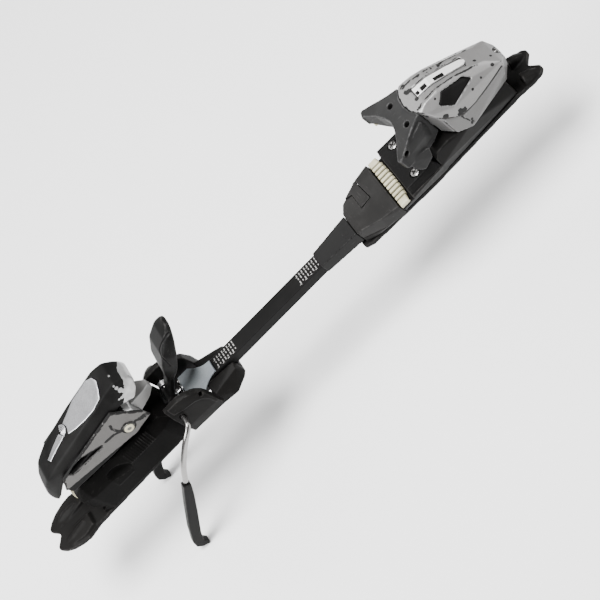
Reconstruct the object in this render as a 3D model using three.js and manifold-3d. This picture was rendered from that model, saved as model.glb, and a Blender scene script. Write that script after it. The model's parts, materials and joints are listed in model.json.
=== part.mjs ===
// An alpine ski binding: toe piece, heel piece with brake, and the band that joins them.
// Millimetres. +X points to the ski's tip, +Z up, +Y to the ski's left side.
// The origin lies on the ski's top sheet (z = 0), half way along the band.
import * as THREE from "three";
import { ConvexGeometry } from "three/addons/geometries/ConvexGeometry.js";
import { mergeVertices } from "three/addons/utils/BufferGeometryUtils.js";
import Module from "manifold-3d";

const wasm = await Module();
wasm.setup();

// ---- driving dimensions ----
const GAP = 0.35; // air between two pieces that rest on each other
const BAND_HALF = 7.6; // half width of the centre band
const BAND_LOW = 7.3;
const BAND_TOP = 17.5;
const BAND_END = 232; // the band runs this far to either side
const BAND_WALL = 2.2;
const TRACK_THICK = 4.5;
const SPINE_HALF = 5;
const TUNNEL_HALF = BAND_HALF + 0.45;
const TUNNEL_TOP = BAND_TOP + 0.45;
const DECK_LOW = TRACK_THICK + 0.4; // underside of both sliding carriages
const STAND_HALF = 28.6; // half width of the toe stand
const CUP_X = 210; // vertical axis of the toe cup
const CUP_R = 30; // radius of the seam between the cup and the housing
const TOE_BORE_Z = 42; // height of the toe spring's axis
const NOSE_SCREW_R = 3.4;
const PIVOT_X = -162; // cross axis of the heel housing and lever
const PIVOT_Z = 66;
const PIVOT_R = 3;
const TOWER_HALF = 9;
const TOWER_R = 8;
const HOUSING_HALF = 20;
const PLATE_IN = 20.4;
const PLATE_OUT = 22.6;
const HEEL_BORE_Z = 61.5;
const HEEL_BORE_R = 6.6;
const PRESSURE_Z = 29; // height of the forward pressure screw's axis
const BRAKE_X = -131; // cross axis of the brake
const BRAKE_Z = 30.5;
const ROD_R = 2.5;
const PEDAL_TILT = THREE.MathUtils.degToRad(51);
const ARM_Y = 42; // how far out the brake arms stand
const SCREW_HEAD_R = 4.6;

// ---- looks ----
const LOOKS = {
  black: [0x222324, 0.62, 0],
  gloss: [0x17181a, 0.3, 0],
  grey: [0x4a4a4c, 0.6, 0],
  silver: [0xc4c3c2, 0.42, 0.35],
  satin: [0xb4b5b6, 0.32, 0.9],
  cream: [0xdcd6bb, 0.55, 0],
  zinc: [0x9fa7b0, 0.35, 1],
  steel: [0xa9abad, 0.28, 1],
};

// ---- solids ----
// Turns a closed three.js geometry into a manifold solid.
function solid(geometry) {
  const bare = geometry.index ? geometry.toNonIndexed() : geometry.clone();
  bare.deleteAttribute("normal");
  bare.deleteAttribute("uv");
  const merged = mergeVertices(bare, 1e-4);
  return new wasm.Manifold(
    new wasm.Mesh({
      numProp: 3,
      vertProperties: new Float32Array(merged.attributes.position.array),
      triVerts: new Uint32Array(merged.index.array),
    }),
  );
}

// Turns a manifold solid back into a three.js geometry.
function geometryOf(body) {
  const mesh = body.getMesh();
  const stride = mesh.numProp;
  const flat = new Float32Array(mesh.numVert * 3);
  for (let i = 0; i < mesh.numVert; i++)
    flat.set(mesh.vertProperties.subarray(i * stride, i * stride + 3), i * 3);
  const geometry = new THREE.BufferGeometry();
  geometry.setAttribute("position", new THREE.BufferAttribute(flat, 3));
  geometry.setIndex(new THREE.BufferAttribute(new Uint32Array(mesh.triVerts), 1));
  geometry.computeVertexNormals();
  return geometry;
}

const join = (...bodies) => bodies.reduce((a, b) => a.add(b));
const cut = (body, ...tools) => tools.reduce((a, b) => a.subtract(b), body);

function box(x0, x1, y0, y1, z0, z1) {
  const geometry = new THREE.BoxGeometry(x1 - x0, y1 - y0, z1 - z0);
  geometry.translate((x0 + x1) / 2, (y0 + y1) / 2, (z0 + z1) / 2);
  return solid(geometry);
}

function extrude(outline, depth) {
  const shape = new THREE.Shape(outline.map(([a, b]) => new THREE.Vector2(a, b)));
  return new THREE.ExtrudeGeometry(shape, { depth, bevelEnabled: false });
}

// An XY outline raised from z0 to z1.
function prismZ(outline, z0, z1) {
  const geometry = extrude(outline, z1 - z0);
  geometry.translate(0, 0, z0);
  return solid(geometry);
}

// An XZ outline run across from y0 to y1.
function prismY(outline, y0, y1) {
  const geometry = extrude(outline, y1 - y0);
  geometry.rotateX(Math.PI / 2);
  geometry.translate(0, y1, 0);
  return solid(geometry);
}

// Points of one side and their mirror images, [x, half width, z].
const bothSides = (points) => points.flatMap(([x, y, z]) => [[x, y, z], [x, -y, z]]);
// The outline of a shape that is symmetric about the X axis, from its half.
const mirrorOutline = (half) => [...half, ...half.map(([x, y]) => [x, -y]).reverse()];
const onSide = (side, points) => points.map(([x, y, z]) => [x, side * y, z]);

function hull(points) {
  return solid(new ConvexGeometry(points.map((p) => new THREE.Vector3(...p))));
}

// Joins the hulls between each two neighbouring rings of points.
function loft(rings) {
  const spans = rings.slice(1).map((ring, i) => hull([...rings[i], ...ring]));
  return join(...spans);
}

// A cylinder along one axis: centre, radius, length.
function rod(axis, centre, radius, length, sides = 20) {
  const geometry = new THREE.CylinderGeometry(radius, radius, length, sides);
  if (axis === "x") geometry.rotateZ(Math.PI / 2);
  if (axis === "z") geometry.rotateX(Math.PI / 2);
  geometry.translate(...centre);
  return solid(geometry);
}

const rodX = (x0, x1, z, radius, y = 0) =>
  rod("x", [(x0 + x1) / 2, y, z], radius, Math.abs(x1 - x0));
const rodY = (x, z, y0, y1, radius) =>
  rod("y", [x, (y0 + y1) / 2, z], radius, Math.abs(y1 - y0));
const rodZ = (x, y, z0, z1, radius) =>
  rod("z", [x, y, (z0 + z1) / 2], radius, Math.abs(z1 - z0));

// A round bar of radius r along a curve.
function bar(curve, radius, steps, sides) {
  const ring = Array.from({ length: sides }, (_, i) => {
    const angle = (2 * Math.PI * i) / sides;
    return new THREE.Vector2(radius * Math.cos(angle), radius * Math.sin(angle));
  });
  const shape = new THREE.Shape(ring);
  return solid(new THREE.ExtrudeGeometry(shape, { steps, extrudePath: curve, bevelEnabled: false }));
}

class Helix extends THREE.Curve {
  constructor(axis, start, end, centre, radius, turns) {
    super();
    Object.assign(this, { axis, start, end, centre, radius, turns });
  }
  getPoint(t) {
    const angle = 2 * Math.PI * this.turns * t;
    const along = this.start + (this.end - this.start) * t;
    const a = this.radius * Math.cos(angle);
    const b = this.radius * Math.sin(angle);
    if (this.axis === "x") return new THREE.Vector3(along, this.centre[0] + a, this.centre[1] + b);
    return new THREE.Vector3(this.centre[0] + a, along, this.centre[1] + b);
  }
}

function coil(axis, start, end, centre, radius, wire, turns) {
  return bar(new Helix(axis, start, end, centre, radius, turns), wire, Math.round(turns * 10), 6);
}

// The pan head and shank of a screw that stands along +Z.
function screwZ(x, y, low, headLow, headTop) {
  return join(
    rodZ(x, y, headLow, headTop, SCREW_HEAD_R),
    rodZ(x, y, low, headLow + 0.2, 2),
  );
}

const model = new THREE.Group();

function piece(name, look, body) {
  const [color, roughness, metalness] = LOOKS[look];
  const material = new THREE.MeshStandardMaterial({ color, roughness, metalness });
  const mesh = new THREE.Mesh(geometryOf(body), material);
  mesh.name = name;
  model.add(mesh);
}

const SIDES = [["left", 1], ["right", -1]];

// ---- the parts that stay on the ski ----
const TRACK_SCREWS = [["front", 98], ["front", 222], ["rear", -156], ["rear", -236]];
const TRACK_SCREW_Y = 12;

function trackHoles(end) {
  return TRACK_SCREWS.filter(([where]) => where === end).flatMap(([, x]) => [
    rodZ(x, TRACK_SCREW_Y, 2.2, 6, SCREW_HEAD_R + 0.3),
    rodZ(x, TRACK_SCREW_Y, -1, 3, 2.3),
  ]);
}

function centreBand() {
  const whole = box(-BAND_END, BAND_END, -BAND_HALF, BAND_HALF, BAND_LOW, BAND_TOP);
  const inside = BAND_HALF - BAND_WALL;
  const channel = box(-122, 62, -inside, inside, BAND_LOW - 1, BAND_TOP - BAND_WALL);
  return cut(whole, channel);
}

function frontTrack() {
  const outline = mirrorOutline([
    [72, 14], [80, 17], [147, 19], [207, 17], [247, 16], [262, 17], [271, 16],
    [275, 12.5], [275, 9], [268, 1.2],
  ]);
  const plate = prismZ(outline, 0, TRACK_THICK);
  const spine = box(72, BAND_END, -SPINE_HALF, SPINE_HALF, TRACK_THICK - 1, BAND_LOW - GAP);
  const fins = SIDES.map(([, side]) =>
    hull(onSide(side, [
      [256, 6, 3], [256, 15.5, 3], [258, 7, 13], [258, 14, 13], [266, 8, 10], [266, 14.5, 9],
      [275, 9.2, 1], [275, 12.4, 1], [271, 15.8, 1], [264, 16.5, 2],
    ])),
  );
  const under = box(60, 290, -30, 30, -5, 0);
  return cut(join(plate, spine, ...fins), under, ...trackHoles("front"));
}

function rearTrack() {
  const outline = mirrorOutline([
    [-296, 1.2], [-303, 9], [-303, 12], [-298, 17], [-291, 21], [-281, 24], [-272, 25],
    [-258, 22], [-150, 19], [-136, 15], [-128, 10],
  ]);
  const plate = prismZ(outline, 0, TRACK_THICK);
  const spine = box(-BAND_END, -128, -SPINE_HALF, SPINE_HALF, TRACK_THICK - 1, BAND_LOW - GAP);
  const tail = SIDES.map(([, side]) =>
    hull(onSide(side, [
      [-258, 5, 3], [-258, 21, 3], [-262, 7, 8], [-262, 20, 8], [-274, 23, 6.5], [-286, 20, 6],
      [-303, 9.2, 1.5], [-303, 11.8, 1.5], [-296, 3, 3],
    ])),
  );
  return cut(join(plate, spine, ...tail), ...trackHoles("rear"));
}

// ---- toe piece ----
const tunnel = join(
  box(20, 260, -TUNNEL_HALF, TUNNEL_HALF, BAND_LOW - 0.4, TUNNEL_TOP),
  box(20, 260, -SPINE_HALF - 0.4, SPINE_HALF + 0.4, 0, BAND_LOW),
);
const rearTunnel = join(
  box(-260, -60, -TUNNEL_HALF, TUNNEL_HALF, BAND_LOW - 0.4, TUNNEL_TOP),
  box(-260, -60, -SPINE_HALF - 0.4, SPINE_HALF + 0.4, 0, BAND_LOW),
);
const AFD_X = [119.4, 131.2];
const AFD_FLOOR = 19.8;
const STAND_TOP = 24;
const STAND_SCREW = [147, 18.5];

function toeCarriage() {
  const tail = hull(bothSides([
    [77, 13, DECK_LOW], [90, 17, DECK_LOW], [119, 18.5, DECK_LOW],
    [77, 13.5, 12], [100, 23, 12], [119, 26, 12],
  ]));
  const stand = hull(bothSides([
    [116, 18, DECK_LOW], [166, 19, DECK_LOW], [116, 27, 16],
    [119, STAND_HALF, STAND_TOP], [166, STAND_HALF, STAND_TOP], [119.2, STAND_HALF, 20],
  ]));
  const body = hull(bothSides([
    [164.4, 18.5, DECK_LOW], [247, 14, DECK_LOW], [166, 27.6, STAND_TOP - 1], [166.4, 26.6, 31],
    [171, 26, 37.4], [183, 24.4, 37], [206, 24.4, 30.9], [247, 11, 21.2], [247, 14, 8],
  ]));
  const afdChannel = box(AFD_X[0] - GAP, AFD_X[1] + GAP, -40, 40, AFD_FLOOR, 50);
  const overTail = box(60, AFD_X[0] - GAP - 0.1, -40, 40, 12, 60);
  const screws = SIDES.map(([, side]) =>
    rodZ(STAND_SCREW[0], side * STAND_SCREW[1], 13, 40, 2.3));
  return cut(join(cut(stand, overTail), tail, body), tunnel, afdChannel, ...screws);
}

function tailCover() {
  const outside = hull(bothSides([
    [36.5, 9.2, BAND_LOW + 1], [36.5, 8.4, 18.6], [76.5, 12.4, BAND_LOW + 1], [76.5, 11.4, 20.6],
  ]));
  return cut(outside, tunnel);
}

const LATCH = [[94.4, -0.8], [105.2, 0.2], [103, 24.2], [87.8, 18], [94.6, 16.2]];

// Moves every edge of an anticlockwise outline outwards by `room`.
function outset(outline, room) {
  const edges = outline.map(([x, y], i) => {
    const [u, v] = outline[(i + 1) % outline.length];
    const length = Math.hypot(u - x, v - y);
    const normal = [(v - y) / length, (x - u) / length];
    return [...normal, normal[0] * x + normal[1] * y + room];
  });
  return edges.map(([c, d, f], i) => {
    const [a, b, e] = edges[(i + edges.length - 1) % edges.length];
    const scale = a * d - b * c;
    return [(e * d - b * f) / scale, (a * f - e * c) / scale];
  });
}

function noseCover() {
  const shell = hull(bothSides([
    [77.2, 13.6, 12.4], [100, 23.4, 12.4], [118.7, 27.8, 12.4],
    [77.2, 12.6, 21], [83, 16.8, 25], [101, 24.4, 26.6], [118.7, 27.8, 26.8],
    [118.7, 28.4, 22],
  ]));
  return cut(shell, tunnel, prismZ(outset(LATCH, GAP), 20.3, 40));
}

function afdBand() {
  const [x0, x1] = AFD_X;
  const outline = mirrorOutline([
    [x0, STAND_HALF], [x1 - 3, STAND_HALF], [x1 - 0.6, 18], [x1, 6],
  ]);
  return prismZ(outline, AFD_FLOOR + 0.4, 25.6);
}

function afdPlate() {
  const plate = hull(bothSides([
    [132.2, 27.6, STAND_TOP + GAP], [165.2, 27.6, STAND_TOP + GAP],
    [133.5, 25.5, 31.5], [163.5, 25, 31.5], [165.2, 25.5, 29],
  ]));
  const holes = SIDES.flatMap(([, side]) => [
    rodZ(STAND_SCREW[0], side * STAND_SCREW[1], 28.4, 40, SCREW_HEAD_R + 0.35),
    rodZ(STAND_SCREW[0], side * STAND_SCREW[1], 20, 30, 2.4),
  ]);
  return cut(plate, ...holes);
}

const CUP_TONGUE = 6;
const TONGUE_Z = [39, 52];

function toeCup() {
  const plan = mirrorOutline([
    [163.5, 0.5], [161.5, 8], [157, 17], [149, 27.5], [146.8, 29], [149, 33.4], [152, 33.2],
    [160, 29], [167, 25], [176, 20.6], [186, 17], [186, 1],
  ]);
  const side = [
    [145, 57], [145, 65.5], [150, 70], [165, 73.2], [180, 75.8], [190, 76.6],
    [190, 46], [176, 42.5], [170, 44], [160, 54],
  ];
  const skirts = SIDES.map(([, side]) =>
    hull(onSide(side, [
      [156, 27, 54], [153, 31.5, 64], [160, 26.4, 49], [166, 20, 46], [168, 25, 51.5],
      [175, 25.4, 61], [174, 20, 46], [180, 18, 45], [182, 20, 72], [168, 25.8, 71], [160, 20, 62],
    ])),
  );
  const wings = join(prismZ(plan, 40, 80), ...skirts).intersect(prismY(side, -40, 40));
  const seam = rodZ(CUP_X, 0, 30, 90, CUP_R + 0.5);
  const [z0, z1] = TONGUE_Z;
  const tongue = join(
    box(174, CUP_X, -CUP_TONGUE, CUP_TONGUE, z0 + 5, z1),
    rodZ(CUP_X, 0, z0, z1, CUP_TONGUE + 1),
  );
  return cut(join(cut(wings, seam), tongue), rodZ(CUP_X, 0, 30, 90, 3.4));
}

// The outline of the dark window in each flank of the housing.
const WINDOW = [[234.5, 14, 57], [230, 10.4, 63], [207, 15, 74.4], [198, 22, 70], [208, 26.4, 61]];

function toeHousing() {
  const skin = hull(bothSides([
    [179, 16, 75.6], [182, 20.5, 74], [194, 15.5, 77], [207, 13, 75.6], [222, 10.5, 69.6],
    [235, 9, 63.4], [232, 16, 60], [248, 9, 55.4], [257, 14.6, 47], [255.5, 15.4, 41],
    [260.6, 8, 42], [261, 6, 37], [258, 7, 30], [252, 15.4, 34],
    ...WINDOW, [207, 29, 48], [206, 29, 32], [191, 26.4, 39], [180, 24, 46], [180, 24, 62],
    [252, 14, 31], [249, 11, 22.2],
  ]));
  const front = join(
    rodZ(CUP_X, 0, 0, 100, CUP_R),
    box(CUP_X - 16, 280, -40, 40, 0, 100),
  );
  const mouth = [[176, 20.6], [214, 8.4], [242, 8.4], [242, -8.4], [214, -8.4], [176, -20.6]];
  const cavity = prismZ(mouth, TONGUE_Z[0] - 2.5, TONGUE_Z[1] + 0.8);
  const scale = prismY(
    [[192, 90], [192, 75.4], [207, 74], [222, 68], [236, 60.6], [240, 90]], -5.6, 5.6);
  const windows = SIDES.map(([, side]) => windowBody(side, 3, -1.6));
  return cut(
    skin.intersect(front), cavity, scale, ...windows,
    rodZ(CUP_X, 0, 20, 69, 3.3),
    rodX(240, 270, TOE_BORE_Z, NOSE_SCREW_R + 0.4),
  );
}

// The window's outline moved out to `from` and in to `to` along its facet, and shrunk towards its middle.
function windowBody(side, from, to, shrink = 1) {
  const centre = new THREE.Vector3();
  const corners = WINDOW.map(([x, y, z]) => new THREE.Vector3(x, side * y, z));
  corners.forEach((corner) => centre.addScaledVector(corner, 1 / corners.length));
  const normal = new THREE.Vector3(0.33, side * 0.72, 0.61).normalize();
  const inner = corners.map((c) => c.clone().sub(centre).multiplyScalar(0.86 * shrink).add(centre));
  const points = inner.flatMap((c) => [
    c.clone().addScaledVector(normal, from).toArray(),
    c.clone().addScaledVector(normal, to).toArray(),
  ]);
  return hull(points);
}

function scaleWindow() {
  return prismY([
    [192.5, 76.4], [192.5, 75.8], [207, 74.4], [222, 68.4], [235.4, 61.4],
    [235.4, 62.2], [222, 69.4], [207, 75.4],
  ], -5.2, 5.2);
}

function toeSprings() {
  const z = TOE_BORE_Z;
  piece("toe_piston", "steel", join(rodX(218.6, 220.4, z, 5.2), rodX(219.6, 230, z, 2.2)));
  piece("toe_spring", "steel", coil("x", 221.8, 234.6, [0, z], 4.3, 0.8, 4));
  piece("toe_spring_seat", "zinc", rodX(236, 238.4, z, 4.9));
  piece("toe_release_screw", "steel", cut(
    rodX(241.6, 260.4, z, NOSE_SCREW_R),
    box(258.6, 262, -0.6, 0.6, z - 5, z + 5),
  ));
}

// ---- heel piece ----
function heelCarriage() {
  const block = hull(bothSides([
    [-138.5, 18, DECK_LOW], [-150, 22, DECK_LOW], [-236, 22, DECK_LOW], [-247, 19, DECK_LOW],
    [-138.5, 19, 34], [-150, 24.5, 34], [-200, 25, 34], [-236, 23.4, 34], [-247, 18, 34],
    [-146, 17, 43], [-170, 19, 46], [-200, 19, 49.5], [-236, 17, 49.5], [-247, 13, 40],
  ]));
  const tower = join(
    box(PIVOT_X - 7, PIVOT_X + 7, -TOWER_HALF, TOWER_HALF, 38, PIVOT_Z),
    rodY(PIVOT_X, PIVOT_Z, -TOWER_HALF, TOWER_HALF, TOWER_R),
  );
  const pockets = SIDES.map(([, side]) =>
    box(-214, -197, Math.min(side * 19.5, side * 40), Math.max(side * 19.5, side * 40), 24, 36));
  return cut(
    join(block, tower), rearTunnel, ...pockets,
    rodY(PIVOT_X, PIVOT_Z, -30, 30, PIVOT_R + 0.35),
    rodX(-260, -214, PRESSURE_Z, 4.3),
    rodX(-216, -186, PRESSURE_Z, 6.8),
  );
}

function heelHousing() {
  const outline = [
    [-148, 55.5], [-148, 75.5], [-155, 82.5], [-190, 75.5], [-228, 69.5], [-240, 62.5],
    [-239, 54], [-192, 51.5], [-167, 52.5], [-154, 53.5],
  ];
  const towerRoom = prismY([
    [-175, 45], [-175, 75.5], [-152.5, 75.5], [-152.5, 66.5], [-142, 60.5], [-142, 45],
  ], -TOWER_HALF - 0.6, TOWER_HALF + 0.6);
  return cut(
    prismY(outline.toReversed(), -HOUSING_HALF, HOUSING_HALF), towerRoom,
    rodY(PIVOT_X, PIVOT_Z, -40, 40, PIVOT_R + 0.4),
    rodX(-228, -170, HEEL_BORE_Z, HEEL_BORE_R),
    rodX(-250, -220, HEEL_BORE_Z, 3.6),
  );
}

function heelJaw() {
  return hull(bothSides([
    [-129.5, 3.2, 58], [-129.5, 3, 64], [-136, 7, 56], [-135, 6.4, 66.6], [-147.6, 12.5, 57],
    [-147.6, 12, 72],
  ]));
}

// One cross section of the lever: place, low and high edge, and the half widths there.
function leverRing([x, low, high, halfLow, halfHigh]) {
  return bothSides([[x, halfLow, low], [x, halfLow, (low + high) / 2], [x, halfHigh, high]]);
}

function heelLever() {
  const body = loft([
    [-127, 88, 94, 10, 8], [-131, 83, 99.6, 14, 11], [-138, 79, 105.6, 17.4, 12.8],
    [-150, 87, 105.2, 19.6, 14.6], [-188, 80, 96.2, 20, 15], [-228, 73.8, 85.4, 18.4, 13.6],
    [-244, 60, 78.2, 14.6, 11.8], [-252, 52, 70.6, 12, 9.6], [-257.4, 47.4, 62, 9.6, 7.6],
    [-260, 49, 55, 6, 5],
  ].map(leverRing));
  const pocket = prismY([[-151, 120], [-151, 103.2], [-200, 91.4], [-200, 120]], -12, 12);
  const groove = prismY([[-200, 120], [-200, 91.4], [-230, 83.4], [-230, 120]], -3.2, 3.2);
  return cut(body, pocket, groove);
}

function leverInlay() {
  return prismY([
    [-151.4, 104.8], [-151.4, 103.6], [-199.6, 92], [-199.6, 93.3],
  ], -11.6, 11.6);
}

function sidePlate(side) {
  const outline = [
    [-143, 57.5], [-144, 68.5], [-158.4, 93.5], [-190.4, 86.5], [-231, 77.5], [-239.4, 64.5],
    [-192.4, 57.5], [-163.4, 53],
  ];
  const slot = [[-188, 70.5], [-189, 73.5], [-222, 75.5], [-224, 72]];
  const [y0, y1] = side > 0 ? [PLATE_IN, PLATE_OUT] : [-PLATE_OUT, -PLATE_IN];
  return cut(
    prismY(outline, y0, y1),
    prismY(slot, y0 - 1, y1 + 1),
    rodY(PIVOT_X, PIVOT_Z, -40, 40, PIVOT_R + 0.35),
  );
}

function pivotPin() {
  const heads = SIDES.map(([, side]) => {
    const [y0, y1] = [side * (PLATE_OUT + GAP), side * (PLATE_OUT + 2)];
    return rodY(PIVOT_X, PIVOT_Z, Math.min(y0, y1), Math.max(y0, y1), 5);
  });
  const reach = PLATE_OUT + 1;
  return join(rodY(PIVOT_X, PIVOT_Z, -reach, reach, PIVOT_R), ...heads);
}

// ---- brake ----
function brakeHousing() {
  const floor = box(-104, -73, -9, 9, 1.2, BAND_LOW - 0.5);
  const sides = SIDES.flatMap(([, side]) => [
    hull(onSide(side, [
      [-73, 8.2, 1.2], [-73, 15, 1.2], [-75, 8.2, 14], [-76, 19, 1.2], [-88, 26, 1.2],
      [-104, 24, 1.2], [-104, 8.2, 16.4], [-104, 21, 14], [-76, 14, 12],
    ])),
    hull(onSide(side, [
      [-102, 18.4, 5.3], [-102, 27, 5.3], [-102, 28, 16], [-103.6, 24.4, 31], [-103.6, 18.4, 31],
      [-107, 23.4, 38], [-107, 18.4, 38], [-113, 22.8, 43.6], [-113, 18.4, 43.6],
      [-122, 22.4, 46.6], [-122, 18.4, 46.6], [-137.6, 18.4, 46], [-137.6, 22, 46],
      [-106, 27, 26], [-114, 26.6, 33], [-126, 26, 36.6], [-137.6, 26, 36],
      [-137.6, 28, 18], [-137.6, 26, 5.3], [-137.6, 18.4, 5.3],
    ])),
  ]);
  return cut(
    join(floor, ...sides),
    rearTunnel.subtract(box(-110, -60, -20, 20, 0, BAND_LOW - 0.45)),
    rodY(BRAKE_X, BRAKE_Z, -40, 40, ROD_R + 0.6),
    box(-118, -90, -18, 18, 17.5, 19.5),
  );
}

function steelPlate() {
  const outline = mirrorOutline([
    [-89.5, 6.3], [-95, 7], [-100, 9], [-105, 12.5], [-110, 17.4], [-122, 17.4],
  ].toReversed());
  return prismZ(outline, BAND_TOP + 0.45, BAND_TOP + 1.7);
}

// Puts a solid drawn along +X from the origin at the brake's axis, turned up by `angle`.
function placed(body, x, y, z, angle) {
  const turn = new THREE.Matrix4().makeRotationY(-angle);
  turn.setPosition(x, y, z);
  return solid(geometryOf(body).applyMatrix4(turn));
}

// One cross section of the pedal: distance along it, half width, and the pad's thickness.
function pedalRing([along, half, thick]) {
  return bothSides([[along, half, -3], [along, half, thick * 0.3], [along, half * 0.78, thick]]);
}

function brakePedal() {
  const pad = loft([
    [-1, 7.2, 2.6], [26, 6.6, 3], [38, 13, 6.5], [48, 16.5, 9], [64, 17.6, 9], [80, 13.6, 5.4],
    [87, 9, 2.6], [90.5, 4, 1.4],
  ].map(pedalRing));
  const raised = placed(pad, BRAKE_X, 0, BRAKE_Z, PEDAL_TILT);
  return join(raised, rodY(BRAKE_X, BRAKE_Z, -7.8, 7.8, 5.2));
}

function brakeArm(side) {
  const points = [
    [BRAKE_X, 8.4, BRAKE_Z], [BRAKE_X, 20, BRAKE_Z], [BRAKE_X, 31, BRAKE_Z], [-133, 37.5, 29.4],
    [-142, 40.6, 24.4], [-156, 41.6, 12], [-167, ARM_Y, 0.5], [-178, ARM_Y, -14.5],
  ];
  const curve = new THREE.CatmullRomCurve3(
    points.map(([x, y, z]) => new THREE.Vector3(x, side * y, z)), false, "centripetal");
  return bar(curve, ROD_R, 26, 8);
}

function brakeTip(side) {
  const plan = [
    [0.8, -3.6], [0.8, 3.6], [14, 4.2], [40, 3.8], [72, 2.6], [84, 3.6], [88.5, 8.4],
    [91.4, 8.6], [92.4, 2], [89, -4], [82, -6.4], [60, -7], [30, -5.6],
  ];
  const down = THREE.MathUtils.degToRad(180 + 56.5);
  const blade = prismY(plan.toReversed(), -3.6, 3.6);
  return placed(blade, -178, side * ARM_Y, -14.5, down);
}

// ---- assembly ----
piece("centre_band", "black", centreBand());
piece("front_track", "black", frontTrack());
piece("rear_track", "black", rearTrack());
TRACK_SCREWS.forEach(([where, x], i) =>
  piece(`${where}_track_screw_${(i % 2) + 1}`, "steel", screwZ(x, TRACK_SCREW_Y, 0.3, 2.6, 4.2)));

piece("toe_carriage", "black", toeCarriage());
piece("tail_cover", "gloss", tailCover());
piece("nose_cover", "black", noseCover());
piece("nose_latch", "gloss", prismZ(LATCH, 23, 27));
piece("afd_band", "cream", afdBand());
piece("afd_plate", "black", afdPlate());
piece("toe_cup", "grey", toeCup());
piece("toe_housing", "silver", toeHousing());
piece("toe_pivot_post", "steel", rodZ(CUP_X, 0, 31.6, 68.4, 3));
piece("scale_window", "cream", scaleWindow());
toeSprings();
for (const [name, side] of SIDES) {
  piece(`afd_screw_${name}`, "steel",
    screwZ(STAND_SCREW[0], side * STAND_SCREW[1], 14, 28.8, 32));
  piece(`wing_pad_${name}`, "cream", hull(onSide(side, [
    [150, 24.4, 55.6], [150, 31, 55.6], [160, 24, 53.6], [160, 29, 53.6],
    [150.6, 25, 51.4], [150.6, 30, 51.4], [159, 24.4, 50.6], [159, 28, 50.6],
  ])));
  piece(`side_window_${name}`, "gloss", windowBody(side, -0.3, -1.2, 0.96));
}

piece("heel_carriage", "black", heelCarriage());
piece("heel_housing", "black", heelHousing());
piece("heel_jaw", "silver", heelJaw());
piece("heel_lever", "black", heelLever());
piece("lever_inlay", "satin", leverInlay());
piece("lever_key", "gloss", box(-212, -202, -2.7, 2.7, 91.4, 93.6));
piece("heel_pivot_pin", "steel", pivotPin());
piece("heel_piston", "steel", rodX(-176.4, -174.2, HEEL_BORE_Z, 6));
piece("heel_spring", "steel", coil("x", -218, -178.4, [0, HEEL_BORE_Z], 4.8, 0.9, 8));
piece("heel_spring_seat", "zinc", rodX(-223, -220, HEEL_BORE_Z, 6));
piece("heel_release_screw", "steel", rodX(-238.4, -227, HEEL_BORE_Z, 3.1));
piece("pressure_spring", "steel", coil("x", -213, -189, [0, PRESSURE_Z], 4.9, 0.9, 5));
piece("pressure_screw", "cream", cut(
  join(rodX(-248, -217, PRESSURE_Z, 3.8), rodX(-252, -247.4, PRESSURE_Z, 6.4)),
  box(-254, -250.6, -5, 5, PRESSURE_Z - 0.7, PRESSURE_Z + 0.7),
));

piece("brake_housing", "black", brakeHousing());
piece("brake_plate", "zinc", steelPlate());
piece("brake_pedal", "black", brakePedal());
piece("brake_spring", "steel", coil("y", 9.6, 16.4, [BRAKE_X, BRAKE_Z], 4.2, 0.8, 4));
for (const [name, side] of SIDES) {
  piece(`side_plate_${name}`, "silver", sidePlate(side));
  piece(`brake_arm_${name}`, "steel", brakeArm(side));
  piece(`brake_tip_${name}`, "black", brakeTip(side));
}

export default model;
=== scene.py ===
# Looks for an alpine ski binding: detailed meshes, materials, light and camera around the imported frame.
# Shapes are written in millimetres in the frame's axes and turned into metres when a mesh is made.
import json
import math

import bmesh
import bpy
import numpy as np
from mathutils import Matrix, Vector


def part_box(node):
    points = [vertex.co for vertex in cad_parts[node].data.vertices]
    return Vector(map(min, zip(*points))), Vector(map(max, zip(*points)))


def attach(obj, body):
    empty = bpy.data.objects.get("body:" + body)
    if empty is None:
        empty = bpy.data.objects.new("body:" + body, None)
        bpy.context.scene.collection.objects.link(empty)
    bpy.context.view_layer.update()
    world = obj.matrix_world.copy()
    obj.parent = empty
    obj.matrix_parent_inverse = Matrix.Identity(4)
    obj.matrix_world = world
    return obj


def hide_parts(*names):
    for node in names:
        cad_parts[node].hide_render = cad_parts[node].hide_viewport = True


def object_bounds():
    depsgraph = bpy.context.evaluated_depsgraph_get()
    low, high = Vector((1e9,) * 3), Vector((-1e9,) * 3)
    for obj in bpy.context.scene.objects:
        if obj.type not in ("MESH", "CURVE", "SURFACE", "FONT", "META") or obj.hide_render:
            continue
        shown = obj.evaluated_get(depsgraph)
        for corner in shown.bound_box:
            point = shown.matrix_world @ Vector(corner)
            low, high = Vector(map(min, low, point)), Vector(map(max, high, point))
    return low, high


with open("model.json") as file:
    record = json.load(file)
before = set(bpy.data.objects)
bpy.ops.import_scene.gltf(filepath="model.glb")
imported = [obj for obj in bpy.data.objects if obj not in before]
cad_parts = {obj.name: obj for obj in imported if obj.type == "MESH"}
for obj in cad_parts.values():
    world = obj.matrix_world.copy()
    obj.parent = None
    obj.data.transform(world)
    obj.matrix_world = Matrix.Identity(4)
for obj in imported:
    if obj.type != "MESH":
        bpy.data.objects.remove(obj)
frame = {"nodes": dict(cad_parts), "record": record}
cad_bounds = [list(corner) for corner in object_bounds()]
NODES = frame["nodes"]
BODY_OF = {n: b for b, ns in frame["record"]["behaviour"]["bodies"].items() for n in ns}
SLOT_OF = {s["node"]: s["material_slot"] for s in frame["record"]["subparts"]}
MM = 0.001
PER_METRE = 1000
SIDES = (("left", 1), ("right", -1))
PIN = (-162, 66)  # X and Z of the pin that the heel housing and the lever turn on
BRAKE_AXIS = (-131, 30.5)  # X and Z of the brake's cross axis
CUP_AXIS_X = 210  # the upright post that the toe cup turns on
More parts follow.
